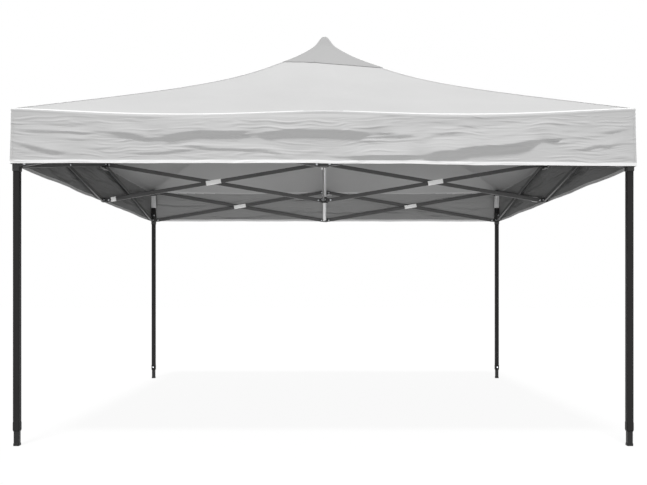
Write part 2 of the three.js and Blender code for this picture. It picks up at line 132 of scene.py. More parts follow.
bpy.ops.object.select_all(action="DESELECT")
bpy.ops.mesh.primitive_plane_add(size=60, location=(0, 0, -0.001))
floor = bpy.context.object
floor.name = "floor"
floor.visible_shadow = False
floor_paint = new_material("pale_floor_paint")
tree = floor_paint.node_tree
seen = seen_directly(tree)
tone = add_node(tree, "Mix", {"data_type": "RGBA"},
                {"Factor": seen, 6: linear("#a0a0a0"), 7: linear("#f4f4f4")})
share = add_node(tree, "Math", {"operation": "MULTIPLY"}, {0: seen, 1: 0.93})
matt = add_node(tree, "BsdfDiffuse", {}, {"Color": tone.outputs[2]})
glow = add_node(tree, "Emission", {}, {"Color": (1, 1, 1, 1), "Strength": 1})
both = add_node(tree, "MixShader", {}, {0: share.outputs[0], 1: matt.outputs[0], 2: glow.outputs[0]})
add_node(tree, "OutputMaterial", {}, {"Surface": both.outputs[0]})
floor.data.materials.append(floor_paint)

# Legs. Square steel tube, 25 mm sliding in 30 mm, cut to length and powder coated black.
# The coat is satin with a fine orange peel, and rubbed to the metal here and there on the edges.
sides = ["front", "right", "back", "left"]
corners = {"front_right": (1, -1), "back_right": (1, 1), "back_left": (-1, 1), "front_left": (-1, -1)}


def finish(names, material):
    for name in names:
        for slot in frame["nodes"][name].material_slots:
            slot.material = material


# Powder coat: a thick even skin that rounds the tube's edges, so they catch a thin line of light.
# Its orange peel is 1.5 mm wide. On the edges small chips show the pale steel.
def powder_coat(name, colour, shade, specular, roughness):
    coat = new_material(name)
    tree = coat.node_tree
    places = add_node(tree, "TexCoord", {}, {}).outputs["Object"]
    rounded = add_node(tree, "Bevel", {"samples": 6}, {"Radius": 0.0022})
    flat = add_node(tree, "NewGeometry", {}, {})
    bend = add_node(tree, "VectorMath", {"operation": "DOT_PRODUCT"},
                    {0: rounded.outputs[0], 1: flat.outputs["Normal"]})
    edge = add_node(tree, "MapRange", {}, {"Value": bend.outputs["Value"], 1: 0.97, 2: 0.8, 3: 0, 4: 1})
    spots = add_node(tree, "TexNoise", {}, {"Vector": places, "Scale": 75, "Detail": 3})
    chips = add_node(tree, "MapRange", {}, {"Value": spots.outputs["Fac"], 1: 0.6, 2: 0.68, 3: 0, 4: 0.25})
    worn = add_node(tree, "Math", {"operation": "MULTIPLY"}, {0: edge.outputs[0], 1: chips.outputs[0]})
    clouds = add_node(tree, "TexNoise", {}, {"Vector": places, "Scale": 7, "Detail": 4})
    tone = add_node(tree, "Mix", {"data_type": "RGBA"},
                    {"Factor": clouds.outputs["Fac"], 6: linear(shade), 7: linear(colour)})
    tone = add_node(tree, "Mix", {"data_type": "RGBA"},
                    {"Factor": worn.outputs[0], 6: tone.outputs[2], 7: linear("#8a8a88")})
    peel = add_node(tree, "TexNoise", {}, {"Vector": places, "Scale": 660, "Detail": 1})
    rough = add_node(tree, "MapRange", {},
                     {"Value": clouds.outputs["Fac"], 3: roughness - 0.06, 4: roughness + 0.06})
    bump = add_node(tree, "Bump", {}, {"Height": peel.outputs["Fac"], "Strength": 0.3, "Distance": 0.00006,
                                       "Normal": rounded.outputs[0]})
    shader = add_node(tree, "BsdfPrincipled", {},
                      {"Base Color": tone.outputs[2], "Roughness": rough.outputs[0], "IOR": 1.5,
                       "Specular IOR Level": specular, "Normal": bump.outputs[0]})
    add_node(tree, "OutputMaterial", {}, {"Surface": shader.outputs[0]})
    return coat


finish(["outer_leg_" + corner for corner in corners],
       powder_coat("black_powder_coat", "#282727", "#1e1d1d", specular=0.12, roughness=0.5))
finish(["inner_leg_" + corner for corner in corners],
       powder_coat("rubbed_black_powder_coat", "#222222", "#181818", specular=0.2, roughness=0.4))

# Truss bars. Oval edged steel tube of 25 mm by 12 mm, flattened at the ends, drilled for the rivets
# and powder coated in dark grey.
bars = [name for name in frame["nodes"] if name.endswith(("_rise", "_fall"))]
finish(bars, powder_coat("dark_grey_powder_coat", "#4a4a4a", "#3e3e3e", specular=0.5, roughness=0.34))

# Connectors. Top brackets, sliders, middle connectors and hubs, moulded in glass filled nylon.
# Fresh from the mould: black, half matt, with a fine spark eroded grain of 0.6 mm and softened edges.
nylon = new_material("black_moulded_nylon")
tree = nylon.node_tree
places = add_node(tree, "TexCoord", {}, {}).outputs["Object"]
rounded = add_node(tree, "Bevel", {"samples": 6}, {"Radius": 0.0012})
grain = add_node(tree, "TexNoise", {}, {"Vector": places, "Scale": 1600, "Detail": 1})
fibres = add_node(tree, "TexNoise", {}, {"Vector": places, "Scale": 120, "Detail": 4, "Distortion": 0.6})
tone = add_node(tree, "Mix", {"data_type": "RGBA"},
                {"Factor": fibres.outputs["Fac"], 6: linear("#161616"), 7: linear("#262626")})
rough = add_node(tree, "MapRange", {}, {"Value": fibres.outputs["Fac"], 3: 0.4, 4: 0.56})
bump = add_node(tree, "Bump", {}, {"Height": grain.outputs["Fac"], "Strength": 0.4, "Distance": 0.00005,
                                   "Normal": rounded.outputs[0]})
shader = add_node(tree, "BsdfPrincipled", {},
                  {"Base Color": tone.outputs[2], "Roughness": rough.outputs[0], "IOR": 1.53,
                   "Specular IOR Level": 0.4, "Normal": bump.outputs[0]})
add_node(tree, "OutputMaterial", {}, {"Surface": shader.outputs[0]})
finish([kind + corner for kind in ("top_bracket_", "slider_") for corner in corners], nylon)
finish([kind + side for kind in ("mid_upper_", "mid_lower_") for side in sides], nylon)
finish(["hub_upper", "hub_lower"], nylon)


# Locks. Steel pins and buttons, turned and zinc plated: bright, bluish, and clouded by handling.
# The clouds are a few millimetres wide.
def plated(name, colour, shade, roughness, scale):
    metal = new_material(name)
    tree = metal.node_tree
    places = add_node(tree, "TexCoord", {}, {}).outputs["Object"]
    clouds = add_node(tree, "TexNoise", {}, {"Vector": places, "Scale": scale, "Detail": 3})
    tone = add_node(tree, "Mix", {"data_type": "RGBA"},
                    {"Factor": clouds.outputs["Fac"], 6: linear(shade), 7: linear(colour)})
    rough = add_node(tree, "MapRange", {},
                     {"Value": clouds.outputs["Fac"], 3: roughness - 0.08, 4: roughness + 0.1})
    drawn = add_node(tree, "Mapping", {}, {"Vector": places, "Scale": (900, 900, 30)})
    lines = add_node(tree, "TexNoise", {}, {"Vector": drawn.outputs[0], "Scale": 1, "Detail": 2})
    bump = add_node(tree, "Bump", {}, {"Height": lines.outputs["Fac"], "Strength": 0.2, "Distance": 0.00003})
    shader = add_node(tree, "BsdfPrincipled", {},
                      {"Base Color": tone.outputs[2], "Metallic": 1.0, "Roughness": rough.outputs[0],
                       "Normal": bump.outputs[0]})
    add_node(tree, "OutputMaterial", {}, {"Surface": shader.outputs[0]})
    return metal


zinc = plated("zinc_plated_steel", "#d4d6d8", "#b4b6ba", roughness=0.3, scale=240)
finish([kind + corner for kind in ("slider_pin_", "leg_button_") for corner in corners], zinc)


# Rivets. Zinc plated steel, with a domed head 13 mm across at each end of every pivot pin.
# One head is modelled and copied to all of them.
def deselect_all():
    if bpy.context.mode != "OBJECT":
        bpy.ops.object.mode_set(mode="OBJECT")
    bpy.ops.object.select_all(action="DESELECT")


def pick_piece(piece):
    deselect_all()
    piece.select_set(True)
    bpy.context.view_layer.objects.active = piece


def pick_faces(piece, wanted):
    """Leaves edit mode on with only the faces selected whose centre and normal are wanted."""
    pick_piece(piece)
    bpy.ops.object.mode_set(mode="EDIT")
    bpy.ops.mesh.select_mode(type="FACE")
    bpy.ops.mesh.select_all(action="DESELECT")
    bpy.ops.object.mode_set(mode="OBJECT")
    for face in piece.data.polygons:
        face.select = bool(wanted(face.center, face.normal))
    bpy.ops.object.mode_set(mode="EDIT")


def upright_disc(vertices, radius, height, steps, smooth):
    """A disc on the origin with a domed top: each step insets the top face and lifts it."""
    deselect_all()
    bpy.ops.mesh.primitive_cylinder_add(vertices=vertices, radius=radius, depth=height,
                                        location=(0, 0, height / 2))
    disc = bpy.context.object
    bpy.ops.object.transform_apply()
    for shrink, rise in steps:
        pick_faces(disc, lambda centre, normal: normal.z > 0.9)
        bpy.ops.mesh.inset(thickness=shrink)
        bpy.ops.transform.translate(value=(0, 0, rise))
    pick_piece(disc)
    bpy.ops.object.shade_smooth_by_angle(angle=math.radians(smooth))
    return disc


def copy_to(piece, place):
    copy = piece.copy()
    copy.data = piece.data.copy()
    scene.collection.objects.link(copy)
    copy.data.transform(place)
    return copy


def join_as(name, parts):
    deselect_all()
    for part in parts:
        part.select_set(True)
    bpy.context.view_layer.objects.active = parts[0]
    bpy.ops.object.join()
    parts[0].name = name
    return parts[0]


def rivet(body, turn, x, y, z, across, reach, size):
    """Two domes on the pin at (x, y, z), each at reach from there along the x or y axis that it lies on."""
    for way in (-1, 1):
        towards = Vector((way, 0, 0)) if across == "x" else Vector((0, way, 0))
        place = Matrix.Translation(Vector((x, y, z)) + reach * towards)
        place @= towards.to_track_quat("Z", "Y").to_matrix().to_4x4()
        rivets.setdefault(body, []).append(copy_to(dome, turn @ place @ Matrix.Scale(size, 4)))


dome = upright_disc(vertices=16, radius=0.0064, height=0.0013, smooth=55,
                    steps=((0.0009, 0.0008), (0.0016, 0.0006), (0.002, 0.0002)))
dome.data.materials.append(zinc)

# The pivots stand where the forks of the connectors hold the bars, the same on each side: half is from
# the mast to a leg, the reaches are from a leg, a middle connector and the hub to the pivots of their
# forks, and span is between the pivots at a bar's two ends.
half, reach_in, span = 1.455, 0.04, 1.385
mid_reach, hub_reach = 0.03, 0.04
upper, lower, middle = 1.572, 1.338, 1.455
bar_offset, ear_face, bar_face = 0.0064, 0.0094, 0.0124
crossing_size = 1.1
ears, bar_faces = (ear_face, 1), (bar_face, crossing_size)
rivets = {}
corner_names = list(corners)
for number, side in enumerate(sides):
    turn = Matrix.Rotation(number * math.radians(90), 4, "Z")
    for end in (1, -1):
        corner = corner_names[number if end > 0 else number - 1]
        toward = sides[(number + end) % 4]
        outer = end * (half - reach_in)
        rise_plane, fall_plane = -half - end * bar_offset, -half + end * bar_offset
        rivet(f"mid_lower_{side}", turn, end * mid_reach, rise_plane, lower, "y", *ears)
        rivet(f"leg_{corner}", turn, outer, rise_plane, upper, "y", *ears)
        rivet(f"mid_upper_{side}", turn, end * mid_reach, fall_plane, upper, "y", *ears)
        rivet(f"slider_{corner}", turn, outer, fall_plane, lower, "y", *ears)
        rivet(f"{side}_bar_{toward}_rise", turn, end * (mid_reach + span / 2), -half, middle, "y", *bar_faces)
    across_mid = -(half - mid_reach)
    rivet("hub", turn, bar_offset, -hub_reach, upper, "x", *ears)
    rivet(f"mid_lower_{side}", turn, bar_offset, across_mid, lower, "x", *ears)
    rivet("hub_lower", turn, -bar_offset, -hub_reach, lower, "x", *ears)
    rivet(f"mid_upper_{side}", turn, -bar_offset, across_mid, upper, "x", *ears)
    rivet(f"cross_bar_{side}_fall", turn, 0, -(hub_reach + span / 2), middle, "x", *bar_faces)
for body, heads in rivets.items():
    piece = join_as("rivets_on_" + body, heads)
    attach(piece, body)
bpy.data.objects.remove(dome)

# Mast. Drawn aluminium tube with a satin skin, and a moulded dome pressed in its upper end.
# It is the brightest metal of the frame and shows fine lines along its length.
finish(["mast"], plated("satin_aluminium_tube", "#f8f8f8", "#f0f0f0", roughness=0.72, scale=60))

# Bumpers. White PVC sleeves clipped over one bar of the front, back and cross trusses' crossings, so
# the painted bars don't rub when folded, and short ones on the outer ends of the cross bars.
# PVC is smooth from the mould and a little uneven, with a skin of 2 mm ripples.
pvc = new_material("white_pvc")
tree = pvc.node_tree
places = add_node(tree, "TexCoord", {}, {}).outputs["Object"]
clouds = add_node(tree, "TexNoise", {}, {"Vector": places, "Scale": 30, "Detail": 3})
tone = add_node(tree, "Mix", {"data_type": "RGBA"},
                {"Factor": clouds.outputs["Fac"], 6: linear("#f3f3f1"), 7: linear("#fbfbfb")})
rough = add_node(tree, "MapRange", {}, {"Value": clouds.outputs["Fac"], 3: 0.3, 4: 0.42})
skin = add_node(tree, "TexNoise", {}, {"Vector": places, "Scale": 500, "Detail": 1})
bump = add_node(tree, "Bump", {}, {"Height": skin.outputs["Fac"], "Strength": 0.2, "Distance": 0.00005})
shader = add_node(tree, "BsdfPrincipled", {},
                  {"Base Color": tone.outputs[2], "Roughness": rough.outputs[0], "IOR": 1.53,
                   "Normal": bump.outputs[0]})
add_node(tree, "OutputMaterial", {}, {"Surface": shader.outputs[0]})
face_out, grip, flange, wall = 0.0163, 0.0282, 0.0105, 0.0016


def clip(length):
    """A channel that lies on a bar along x, its face towards +y and its flanges gripping the edges."""
    deselect_all()
    bpy.ops.mesh.primitive_plane_add(size=1, location=(0, face_out, 0), rotation=(math.radians(-90), 0, 0))
    channel = bpy.context.object
    bpy.ops.object.transform_apply()
    bpy.ops.object.mode_set(mode="EDIT")
    bpy.ops.transform.resize(value=(length, 1, grip), center_override=(0, face_out, 0))
    bpy.ops.mesh.subdivide(number_cuts=3)
    bpy.ops.object.mode_set(mode="OBJECT")
    rim = [abs(vertex.co.z) > grip * 0.49 for vertex in channel.data.vertices]
    bpy.ops.object.mode_set(mode="EDIT")
    bpy.ops.mesh.select_mode(type="EDGE")
    bpy.ops.mesh.select_all(action="DESELECT")
    bpy.ops.object.mode_set(mode="OBJECT")
    for edge in channel.data.edges:
        edge.select = all(rim[v] for v in edge.vertices)
    bpy.ops.object.mode_set(mode="EDIT")
    bpy.ops.mesh.extrude_edges_move(TRANSFORM_OT_translate={"value": (0, -flange, 0)})
    bpy.ops.mesh.select_all(action="SELECT")
    bpy.ops.mesh.normals_make_consistent(inside=False)
    bpy.ops.object.mode_set(mode="OBJECT")
    solidify = channel.modifiers.new("wall", "SOLIDIFY")
    solidify.thickness = wall
    solidify.offset = 0
    bpy.ops.object.modifier_apply(modifier=solidify.name)
    soft = channel.modifiers.new("soft edges", "BEVEL")
    soft.width = 0.0007
    soft.segments = 2
    soft.limit_method = "ANGLE"
    bpy.ops.object.modifier_apply(modifier=soft.name)
    bpy.ops.object.shade_smooth_by_angle(angle=math.radians(40))
    channel.data.materials.append(pvc)
    return channel


def clip_on(piece, body, name, place):
    sleeve_there = copy_to(piece, place)
    sleeve_there.name = name
    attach(sleeve_there, body)


slope = math.atan2(upper - lower, span)
lean = Matrix.Rotation(slope, 4, "Y")
sleeve, short_sleeve = clip(0.1), clip(0.034)
from_end = 0.032
for number, side in enumerate(sides):
    turn = Matrix.Rotation(number * math.radians(90), 4, "Z")
    for end in (1, -1) if side in ("front", "back") else ():
        toward = sides[(number + end) % 4]
        bar = f"{side}_bar_{toward}_" + ("fall" if end > 0 else "rise")
        place = Matrix.Translation((end * (mid_reach + span / 2), -half, middle))
        clip_on(sleeve, bar, "bumper_on_" + bar, turn @ place @ lean)
    rising = side in ("front", "right")
    bar = f"cross_bar_{side}_" + ("rise" if rising else "fall")
    face = Matrix.Rotation(math.radians(90 if rising else -90), 4, "Z")
    place = Matrix.Translation((0, -(hub_reach + span / 2), middle))
    clip_on(sleeve, bar, "bumper_on_" + bar, turn @ place @ face @ lean)
    bar = f"cross_bar_{side}_fall"
    face = Matrix.Rotation(math.radians(-90), 4, "Z")
    place = Matrix.Translation((0, from_end - (half - mid_reach), lower + from_end * math.tan(slope)))
    clip_on(short_sleeve, bar, "end_bumper_on_" + bar, turn @ place @ face @ lean)
bpy.data.objects.remove(sleeve)
bpy.data.objects.remove(short_sleeve)

# Nut cover. A white cap of the same PVC, moulded with a domed top.
# It is snapped over the nut of the front fork of the upper hub.
nut_cover = upright_disc(vertices=24, radius=0.0105, height=0.005, smooth=40,
                         steps=((0.0006, 0.0016), (0.0018, 0.0014), (0.003, 0.0006)))
nut_cover.name = "hub_nut_cover"
nut_place = Matrix.Translation((bar_offset + ear_face, -hub_reach - 0.002, upper - 0.0045))
nut_cover.data.transform(nut_place @ Matrix.Rotation(math.radians(90), 4, "Y"))
nut_cover.data.materials.append(pvc)
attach(nut_cover, "hub")

# Cover. One cover of coated polyester, cut as four gores and four valances and sewn together.
# It is stretched over the mast and the four leg tops, and its valance hangs free. Between them the
# roof rises evenly at the eave and ever more steeply towards the mast, with a little slack.
cover_half = 1.477
eave = 1.596
peak = 2.412
even_rise, inner_rise, tip_rise = 0.71, 0.2, 0.09
tip_radius = 0.0216
tip_angle = math.atan((peak - eave) / cover_half * (even_rise + 4 * inner_rise + 6 * tip_rise))
apex = peak + tip_radius * (1 / math.cos(tip_angle) - 1)
middle_sag, bay_sag, bay_fullness = 0.0105, 0.0205, 0.7
roof_slack, edge_slack, edge_share = 0.056, 0.005, 1 / 5
pinch_depth, pinch_start, pinch_grows, pinch_end, pinch_fades = 0.02, 0.016, 0.05, 0.09, 0.22
roof_half = 1.4604
columns = 124
seam_width = 0.01
eave_rows = 6
valance_rows = 50
hem_rows = 3
hem_width = 0.0155
valance_depth = 0.266
valance_top = eave - 0.03
corner_drops = {"front_left": 0.258, "front_right": 0.2712, "back_right": 0.265, "back_left": 0.264}


def clamp(value):
    return max(0, min(1, value))


def ease(share):
    return share * share * (3 - 2 * share)


def side_of(x, y):
    """0 for the front, 1 for the right, 2 for the back and 3 for the left, and the place along it."""
    side = (0 if y < 0 else 2) if abs(y) >= abs(x) else (1 if x > 0 else 3)
    return side, (x, y, -x, -y)[side]


def eave_sag(share):
    """The eave hangs between the corners, where share is 1 or -1, and the middle connector at 0."""
    return middle_sag * (1 - share ** 2) + bay_sag * (math.sin(math.pi * share) ** 2) ** bay_fullness


def roof_height(x, y):
    """The smooth roof: a round tip on the mast's dome, under which the cloth is pinched in a little."""
    reach = max(abs(x), abs(y))
    if reach < tip_radius * math.sin(tip_angle):
        return peak - tip_radius + math.sqrt(tip_radius ** 2 - reach ** 2)
    inward = 1 - reach / cover_half
    across = min(abs(x), abs(y)) / reach
    rise = even_rise * inward + inner_rise * inward ** 4 + tip_rise * inward ** 6
    slack = roof_slack * inward * (1 - inward) + edge_slack * (1 - inward)
    pinch = pinch_depth * ease(clamp((reach - pinch_start) / pinch_grows))
    pinch *= clamp(1 - (reach - pinch_end) / pinch_fades)
    edge = max(0, 1 - inward / edge_share) ** 2 * (eave_sag(across) - edge_slack * (1 - across ** 2))
    return eave + (apex - eave) * rise - (1 - across ** 2) * slack - edge - pinch


# Folds that packing leaves. Each is a row of points along its crest, how far the cloth stands out
# there, and how wide the fall under the crest is. Above the crest the cloth faces up and is light.
# Below it the cloth faces down and is dark, as far as a shallow hollow that runs out on flat cloth.
fold_hollow, flank_width = 0.35, 2.6
least_height, least_width = 0.15, 0.4
roof_taper, valance_taper = 0.25, 0.09


def fold_height(x, y, fold, taper):
    """How far one fold lifts the cloth at (x, y), y being down. Its ends run out over taper."""
    line, height, below = fold
    above = flank_width * below
    if min(p[0] for p in line) - x > above or x - max(p[0] for p in line) > above:
        return 0
    if min(p[1] for p in line) - y > above or y - max(p[1] for p in line) > above + below:
        return 0
    nearest = None
    for (ax, ay), (bx, by) in zip(line, line[1:]):
        run_x, run_y = bx - ax, by - ay
        share = clamp(((x - ax) * run_x + (y - ay) * run_y) / (run_x ** 2 + run_y ** 2))
        off_x, off_y = x - ax - run_x * share, y - ay - run_y * share
        if nearest is None or math.hypot(off_x, off_y) < nearest[0]:
            nearest = math.hypot(off_x, off_y), off_y
    ends = min(math.hypot(x - px, y - py) for px, py in (line[0], line[-1]))
    full = min(1, least_height + ends / taper)
    away = nearest[0] if nearest[1] > 0 else -nearest[0]
    below *= least_width + (1 - least_width) * full
    if away <= 0:
        return height * full * max(0, 1 + away / above)
    if away <= below:
        return height * full * ((1 + fold_hollow) * (1 - away / below) ** 2 - fold_hollow)
    return -fold_hollow * height * full * max(0, 1 - (away - below) / above)


# The front valance's folds were measured on the photograph. On a valance a point is a place along the
# side and a drop below the eave. On the roof it is x and y.
front_folds = [
    ([(-1.449, 0.1), (-1.206, 0.107), (-1.06, 0.119)], 0.0024, 0.009),
    ([(-1.041, 0.109), (-0.923, 0.115), (-0.863, 0.128), (-0.795, 0.14)], 0.006, 0.02),
    ([(-1.06, 0.125), (-0.904, 0.136), (-0.767, 0.146)], 0.002, 0.009),
    ([(-0.781, 0.141), (-0.743, 0.131), (-0.696, 0.12), (-0.639, 0.111), (-0.587, 0.105),
      (-0.503, 0.109), (-0.445, 0.109), (-0.366, 0.108), (-0.315, 0.122)], 0.009, 0.038),
    ([(-0.327, 0.123), (-0.261, 0.112), (-0.207, 0.105), (-0.11, 0.101), (0.016, 0.101),
      (0.106, 0.105), (0.174, 0.113), (0.237, 0.119)], 0.01, 0.042),
    ([(0.131, 0.153), (0.174, 0.144), (0.219, 0.156), (0.254, 0.165), (0.296, 0.155)], 0.0028, 0.01),
    ([(0.224, 0.14), (0.287, 0.129), (0.344, 0.128), (0.429, 0.122), (0.471, 0.119)], 0.004, 0.014),
    ([(0.372, 0.15), (0.437, 0.148), (0.457, 0.15), (0.5, 0.136), (0.52, 0.122), (0.575, 0.119),
      (0.618, 0.115), (0.674, 0.115), (0.712, 0.111)], 0.0046, 0.015),
    ([(-0.688, 0.177), (-0.605, 0.179), (-0.532, 0.187), (-0.489, 0.189), (-0.406, 0.189),
      (-0.366, 0.195), (-0.28, 0.195), (-0.243, 0.202), (-0.196, 0.219),
      (-0.157, 0.237)], 0.0042, 0.014),
    ([(-0.715, 0.193), (-0.626, 0.192), (-0.597, 0.201)], 0.0034, 0.017),
    ([(-0.532, 0.067), (-0.475, 0.06), (-0.431, 0.058), (-0.366, 0.065), (-0.289, 0.067)], 0.002, 0.009),
    ([(-0.351, 0.05), (-0.294, 0.04), (-0.252, 0.046)], 0.0018, 0.008),
    ([(-0.289, 0.066), (-0.157, 0.063), (0.013, 0.064)], 0.0026, 0.014),
    ([(-0.503, 0.151), (-0.46, 0.158), (-0.419, 0.16)], 0.0019, 0.007),
    ([(-0.02, 0.033), (0.016, 0.041), (0.046, 0.043), (0.112, 0.033)], 0.0026, 0.009),
    ([(-0.096, 0.193), (-0.03, 0.2), (0.027, 0.203)], 0.0022, 0.009),
    ([(-0.152, 0.224), (-0.077, 0.214), (-0.02, 0.224)], 0.0022, 0.009),
    ([(0.093, 0.228), (0.242, 0.222), (0.363, 0.223), (0.424, 0.22), (0.462, 0.225)], 0.007, 0.024),
    ([(0.452, 0.226), (0.5, 0.219), (0.541, 0.203), (0.589, 0.202), (0.639, 0.198), (0.683, 0.184),
      (0.722, 0.181), (0.769, 0.177), (0.835, 0.174), (0.892, 0.17), (0.952, 0.158),
      (1.029, 0.145)], 0.012, 0.038),
    ([(0.623, 0.222), (0.656, 0.212), (0.698, 0.207), (0.731, 0.216), (0.769, 0.236)], 0.003, 0.01),
    ([(0.878, 0.22), (0.93, 0.207), (0.986, 0.195)], 0.0036, 0.013),
    ([(0.594, 0.086), (0.673, 0.08), (0.708, 0.084), (0.774, 0.091)], 0.0024, 0.009),
    ([(0.783, 0.078), (0.845, 0.075)], 0.0018, 0.008),
    ([(0.684, 0.126), (0.76, 0.124)], 0.002, 0.008),
    ([(0.753, 0.132), (0.797, 0.134), (0.892, 0.118), (0.967, 0.1), (1.076, 0.088)], 0.0032, 0.012),
    ([(0.767, 0.11), (0.816, 0.109), (0.868, 0.105)], 0.0018, 0.008),
    ([(1.022, 0.076), (1.052, 0.065), (1.123, 0.072)], 0.0022, 0.008),
    ([(1.156, 0.2), (1.244, 0.188), (1.289, 0.173), (1.339, 0.178), (1.426, 0.155)], 0.003, 0.011),
    ([(1.289, 0.115), (1.36, 0.108), (1.445, 0.094)], 0.0028, 0.012),
    ([(1.336, 0.245), (1.405, 0.23), (1.468, 0.242)], 0.0024, 0.009),
    ([(-1.453, 0.159), (-1.362, 0.18), (-1.303, 0.195), (-1.187, 0.213)], 0.0044, 0.015),
    ([(-1.453, 0.19), (-1.409, 0.206), (-1.371, 0.21)], 0.003, 0.01),
    ([(-0.913, 0.21), (-0.767, 0.206), (-0.677, 0.195), (-0.592, 0.196)], 0.0036, 0.014),
    ([(-1.244, 0.14), (-1.135, 0.147), (-1.06, 0.141)], 0.0018, 0.008),
    ([(-1.338, 0.067), (-1.225, 0.075), (-1.093, 0.068)], 0.0016, 0.009),
    ([(1.1, 0.131), (1.19, 0.139), (1.293, 0.134)], 0.0016, 0.009),
    ([(-1.13, 0.184), (-1.06, 0.19), (-0.979, 0.183)], 0.0018, 0.008),
    ([(0.117, 0.17), (0.202, 0.184), (0.301, 0.181)], 0.0016, 0.008),
]
roof_folds = [
    ([(-0.062, -0.075), (-0.068, -0.445), (-0.058, -0.983), (-0.025, -1.444)], 0.0035, 0.012),
    ([(0.175, -0.399), (0.183, -0.6), (0.191, -0.794)], 0.0045, 0.03),
    ([(0.204, -0.738), (0.417, -0.569)], 0.0045, 0.03),
    ([(0.138, -1.055), (0.337, -0.864)], 0.004, 0.03),
    ([(0.02, -0.3), (0.06, -0.55)], 0.003, 0.02),
    ([(-0.9, -1.2), (-0.4, -0.95)], 0.002, 0.04),
    ([(0.7, -1.25), (1.1, -1.3)], 0.002, 0.04),
]

# The other three sides get big folds of the same kind, and all four get short fine creases between
# them, all drawn at random. The roof gets a few shallow dents, weaker on the front gore.
big_folds, fine_folds, dents = 15, 44, 5
draw = random.Random(12)
side_folds = [front_folds, [], [], []]
for side, folds in enumerate(side_folds):
    for place in range(0 if side == 0 else big_folds):
        along = -1.44 + 2.5 * (place + draw.random() * 0.8) / big_folds
        drop = draw.uniform(0.06, 0.22)
        line = [(along, drop)]
        for step in range(draw.randint(2, 5)):
            along = min(1.46, along + draw.uniform(0.06, 0.14))
            drop = max(0.04, min(0.24, drop + draw.uniform(-0.014, 0.014)))
            line.append((along, drop))
        width = draw.uniform(0.014, 0.038)
        folds.append((line, width * draw.uniform(0.22, 0.3), width))
    for place in range(fine_folds):
        along = -1.46 + 2.8 * (place + draw.random()) / fine_folds
        drop = draw.uniform(0.025, 0.245)
        reach = draw.uniform(0.05, 0.17)
        line = [(along, drop), (min(1.465, along + reach), max(0.02, drop + draw.uniform(-0.02, 0.02)))]
        folds.append((line, draw.uniform(0.0008, 0.0017), draw.uniform(0.007, 0.01)))
for side in range(4):
    turn = Matrix.Rotation(side * math.radians(90), 2)
    for place in range(dents):
        start = Vector((draw.uniform(-0.5, 0.5), -draw.uniform(0.5, 1.0)))
        end = start + Vector((draw.uniform(-0.3, 0.3), -draw.uniform(0.15, 0.4)))
        height = 0.0015 if side == 0 else 0.0035
        roof_folds.append(([tuple(turn @ start), tuple(turn @ end)], height, draw.uniform(0.02, 0.04)))


def hem_depth(side, share):
    """How far below the eave the hem hangs, from one corner of a side at -1 to the next at 1.
    On the front it comes down only in the right half, as in the photograph."""
    near, far = corner_names[side - 1], corner_names[side]
    fall_start, fall_end = (-0.1, 0.95) if side == 0 else (-1, 1)
    step = ease(clamp((share - fall_start) / (fall_end - fall_start)))
    ripple = 0.0009 * math.sin(17 * share + side) + 0.0006 * math.sin(41 * share + 2 * side)
    return corner_drops[near] + (corner_drops[far] - corner_drops[near]) * step + ripple * (1 - share ** 2)


def valance_out(side, share, drop, down):
    """How far a valance stands out at a drop below the eave, down being its share of the way to the hem.
    It hangs in shallow pleats, tucked in under the eave, and stays flat near the eave and corner seams."""
    pleat_depth, fold_strength, deepest_hollow, tucked_in, flare = 0.009, 1.5, 0.0025, 0.0018, 0.003
    seam_share, seam_drop = 1 / 40, 0.02
    pleat = pleat_depth * drop / valance_depth * (1 - math.cos((share + 1) * 4 * math.pi)) / 2
    heights = [fold_height(share * cover_half, drop, fold, valance_taper) for fold in side_folds[side]]
    folds = fold_strength * (max(heights) + min(heights))
    loose = clamp((1 - abs(share)) / seam_share) * clamp((drop - seam_drop) / seam_drop)
    return pleat + max(-deepest_hollow, folds) * loose - tucked_in * (1 - down) + flare * down ** 2


# The cloth starts as a grid, and rows extruded from its rim become the rounded eave and the valances.
# The eave's bend is tight at the corners and the middle connectors, and slack between them.
deselect_all()
bpy.ops.mesh.primitive_grid_add(x_subdivisions=columns, y_subdivisions=columns, size=2)
cover = bpy.context.object
cover.name = "cover_cloth"
column = (roof_half - seam_width) / (columns // 2 - 1)
for vertex in cover.data.vertices:
    for axis in (0, 1):
        number = round(abs(vertex.co[axis]) * columns / 2)
        place = number * column if number < columns // 2 else roof_half
        vertex.co[axis] = math.copysign(place, vertex.co[axis])
bpy.ops.object.mode_set(mode="EDIT")
bpy.ops.mesh.select_all(action="SELECT")
bpy.ops.mesh.region_to_loop()
for row in range(eave_rows + valance_rows):
    bpy.ops.mesh.extrude_region_move(TRANSFORM_OT_translate={"value": (0, 0, -1)})
bpy.ops.object.mode_set(mode="OBJECT")
roof_slope = math.atan(0.388)
tight_bend, slack_bend, flat_rim = 0.008, 0.0145, 0.05
